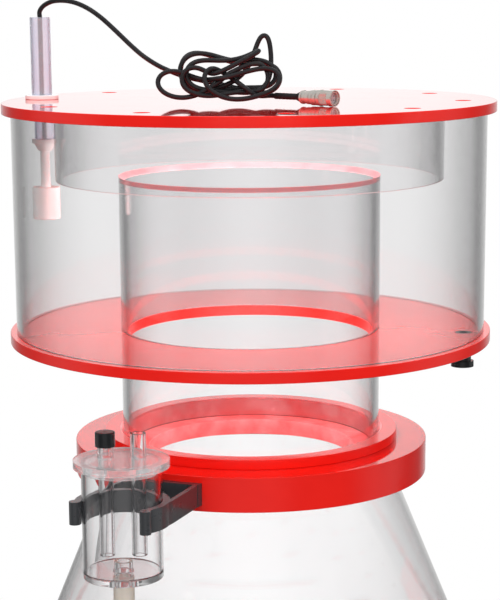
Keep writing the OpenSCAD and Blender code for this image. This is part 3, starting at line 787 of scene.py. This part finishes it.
boot = link(along("plug_boot", boot_profile(), radius=0.15), "cover", LOOKS["rubber"])
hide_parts("connector_boot")
SHELL_PROFILE = [
    (2.5, 0), (5.6, 0), (6.2, 0.7), (6.2, 2.6), (5.3, 3.1), (5.3, 6.6), (6.2, 7.1), (6.2, 10.8),
    (5.5, 11.3), (5.5, 12.2), (6.9, 12.7), (6.9, 15.2), (6.4, 15.6), (6.4, 16.4), (6.9, 16.8),
    (6.9, 19.4), (5.9, 20.0), (5.9, 37.6), (5.1, 37.6), (5.1, 26), (2.5, 26)]
NUT_PROFILE = [
    (6.35, 21.2), (7.3, 21.2), (7.3, 23.4), (6.8, 23.8), (6.8, 32.6), (7.3, 33), (7.3, 38), (6.35, 38)]
NUT_RIBS = (36, 0.5 * MM, 0.0239, 0.0325)

shell = link(along("plug_shell", SHELL_PROFILE, segments=96), "cover", LOOKS["nickel"])
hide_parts("connector_body")
coupling = link(along("plug_nut", NUT_PROFILE, segments=216, ridge=NUT_RIBS), "coupling_nut",
                LOOKS["nickel"])
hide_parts("connector_nut")

# ---------------------------------------------------------------- the silencer

POT = (mid("silencer_tube").x, mid("silencer_tube").y)
OPEN_NIPPLE = (mid("intake_tube").x, mid("intake_tube").y)
SHUT_NIPPLE = (mid("capped_tube").x, mid("capped_tube").y)


def silencer():
    clear = ("clear_acrylic", "clear_pot")
    floor = lo("silencer_tube").z / MM
    rim = hi("silencer_tube").z / MM
    top = hi("silencer_lid").z / MM
    turned("silencer_tube", "stand", *clear, ring_profile(32.3, 35.2, floor + SKIN, rim - SKIN), at=POT,
           segments=128)
    turned("silencer_base", "stand", *clear, ring_profile(8.35, 35.2, floor - 6, floor - SKIN), at=POT,
           segments=128, radius=1.0)
    turned("silencer_outlet", "stand", *clear, ring_profile(5.5, 8.2, floor - 24, floor + 8), at=POT,
           segments=64, radius=0.4)
    for node, centre in (("intake_tube", OPEN_NIPPLE), ("capped_tube", SHUT_NIPPLE)):
        end = hi(node).z / MM
        turned(node, "silencer_top", *clear,
               [(4.5, top - 88), (6.8, top - 88), (6.8, top + SKIN), (7, top + SKIN), (7, end), (4.5, end)],
               at=centre, segments=64, radius=0.35)
    turned("nipple_cap", "nipple_plug", "black_rubber", "gloss_black",
           [(7.3, top + 9.5), (8.75, top + 9.5), (8.75, top + 22.7), (0.4, top + 22.7), (0.4, top + 19.4),
            (7.3, top + 19.4)], at=SHUT_NIPPLE, segments=72, radius=1.0)


silencer()

# ---------------------------------------------------------------- CAD nodes that stay

for node, look, bevel in (
        ("silencer_lid", "clear_lid", 1.2), ("clip", "clip", 1.8), ("clip_screw", "steel", 0.3),
        ("float_stem", "white", 0.4), ("stem_clip", "steel", 0.2), ("sensor_lead", "cable", 0.0),
        ("connector_insert", "insert", 0.15), ("neck_seals", "rubber", 0.0),
        ("drain_nipple", "gloss_black", 0.4), ("drain_washer", "rubber", 0.4),
        ("drain_cap", "gloss_black", 0.6),
        ("body_tube", "clear_cone", 0.0), ("base_plate", "red", 0.7), ("bubble_plate", "diffuser", 0.3),
        ("plate_legs", "diffuser", 0.5), ("bulkhead", "fitting", 0.8), ("union_nut", "motor", 0.9),
        ("volute", "fitting", 0.8), ("volute_cover", "fitting", 0.8), ("volute_screws", "steel", 0.3),
        ("motor_housing", "motor", 0.9), ("motor_cap", "motor", 1.0), ("cable_gland", "gloss_black", 0.6),
        ("bearings", "ceramic", 0.2), ("rotor", "magnet", 0.4), ("shaft", "ceramic", 0.3),
        ("needle_wheel", "white", 0.2), ("venturi", "fitting", 0.6), ("strainer", "motor", 0.7),
        ("pump_feet", "rubber", 0.6), ("outlet_foot", "fitting", 0.8), ("outlet_pipe", "red", 0.5),
        ("outlet_sleeve", "clear_small", 0.4)):
    dress(node, look, bevel * MM)

# ---------------------------------------------------------------- the cords' facts

tuple(cable_line[0])
path_length(cable_line)
[tuple(p) for p in cable_line]
path_length(hose_line)

# ---------------------------------------------------------------- studio


# How bright the sweep is for what the pieces mirror and refract, by degrees from straight behind: lit
# panels behind, at both sides and in front, and a dim studio between them.
PANELS = [(0, 1.05), (7, 1.0), (12, 0.88), (20, 0.7), (32, 0.42), (42, 0.16), (62, 0.14), (80, 0.5),
          (100, 0.5), (118, 0.16), (150, 0.2), (166, 0.42), (180, 0.42)]


def glow(name, seen):
    """The sweep's light: white as the background, and the panels for all other rays."""
    material = bpy.data.materials.new(name)
    material.use_nodes = True
    tree = material.node_tree
    tree.nodes.clear()
    add, join = tree.nodes.new, tree.links.new
    out, light = add("ShaderNodeOutputMaterial"), add("ShaderNodeEmission")
    where = add("ShaderNodeNewGeometry")
    parts, turn, size = add("ShaderNodeSeparateXYZ"), add("ShaderNodeMath"), add("ShaderNodeMath")
    share, ramp, eye, pick = (add("ShaderNodeMath"), add("ShaderNodeValToRGB"), add("ShaderNodeLightPath"),
                              add("ShaderNodeMix"))
    turn.operation, size.operation, share.operation = "ARCTAN2", "ABSOLUTE", "DIVIDE"
    share.inputs[1].default_value = math.pi
    while len(ramp.color_ramp.elements) < len(PANELS):
        ramp.color_ramp.elements.new(0.5)
    for element, (at, value) in zip(ramp.color_ramp.elements, PANELS):
        element.position = at / 180
        element.color = (value, value, value, 1)
    join(where.outputs["Position"], parts.inputs[0])
    join(parts.outputs[0], turn.inputs[0])
    join(parts.outputs[1], turn.inputs[1])
    join(turn.outputs[0], size.inputs[0])
    join(size.outputs[0], share.inputs[0])
    join(share.outputs[0], ramp.inputs[0])
    join(eye.outputs["Is Camera Ray"], pick.inputs[0])
    join(ramp.outputs[0], pick.inputs[2])
    pick.inputs[3].default_value = seen
    join(pick.outputs[0], light.inputs["Strength"])
    join(light.outputs[0], out.inputs[0])
    return material


def sweep():
    """A round white sweep: a floor that curves up into a wall."""
    profile = [(0.0, -0.002), (6.6, -0.002)]
    profile += [(6.6 + 1.6 * math.sin(a), 1.6 - 1.6 * math.cos(a) - 0.002)
                for a in [math.radians(10 * k) for k in range(1, 10)]]
    profile += [(8.2, 6.5)]
    verts, faces, n, turns = [], [], len(profile), 96
    for s in range(turns):
        a = 2 * math.pi * s / turns
        verts += [(r * math.cos(a), r * math.sin(a), z) for r, z in profile]
    for s in range(turns):
        t = (s + 1) % turns
        for i in range(n - 1):
            faces.append((s * n + i, t * n + i, t * n + i + 1, s * n + i + 1))
    mesh = bpy.data.meshes.new("sweep")
    mesh.from_pydata(verts, [], faces)
    obj = bpy.data.objects.new("sweep", mesh)
    for face in mesh.polygons:
        face.use_smooth = True
    mesh.materials.append(glow("sweep_white", 1.0))
    bpy.context.scene.collection.objects.link(obj)


def lamp(name, place, target, size, power, mirrored=True):
    data = bpy.data.lights.new(name, "AREA")
    data.shape = "RECTANGLE"
    data.size, data.size_y = size
    data.energy = power
    obj = bpy.data.objects.new(name, data)
    obj.location = place
    obj.rotation_euler = (Vector(target) - Vector(place)).to_track_quat("-Z", "Y").to_euler()
    bpy.context.scene.collection.objects.link(obj)
    obj.visible_camera = False
    obj.visible_glossy = obj.visible_transmission = mirrored


def inner_lamp(name, place, power):
    """A bare lamp inside the clear tubes, for the light that cast sheet carries inward."""
    data = bpy.data.lights.new(name, "POINT")
    data.energy = power
    data.shadow_soft_size = 0.06
    obj = bpy.data.objects.new(name, data)
    obj.location = place
    bpy.context.scene.collection.objects.link(obj)
    obj.visible_camera = obj.visible_glossy = obj.visible_transmission = False


def world():
    scene = bpy.context.scene
    scene.world = bpy.data.worlds.new("world")
    scene.world.use_nodes = True
    back = scene.world.node_tree.nodes["Background"]
    back.inputs[0].default_value = (0.9, 0.92, 0.95, 1)
    back.inputs[1].default_value = 0.5
    scene.view_settings.view_transform = "Standard"
    scene.view_settings.look = "None"
    scene.cycles.max_bounces = 32
    scene.cycles.transmission_bounces = 32
    scene.cycles.transparent_max_bounces = 32
    scene.cycles.glossy_bounces = 8
    scene.cycles.diffuse_bounces = 4
    scene.cycles.caustics_reflective = False


sweep()
world()
lamp("key", (-1.2, -2.6, 2.6), (0, 0, 0.6), (1.6, 1.2), 52, mirrored=False)
lamp("top", (0.2, 0.3, 3.4), (0, 0, 0.5), (2.4, 2.0), 70, mirrored=False)
lamp("right", (2.8, -0.8, 1.4), (0, 0, 0.6), (0.7, 1.8), 26, mirrored=False)
lamp("front", (0.3, -3.4, 1.1), (0, 0, 0.6), (2.6, 1.0), 32, mirrored=False)

inner_lamp("in_cup", (0, 0, 0.80), 2.4)
inner_lamp("in_neck", (0, 0, 0.60), 0.8)
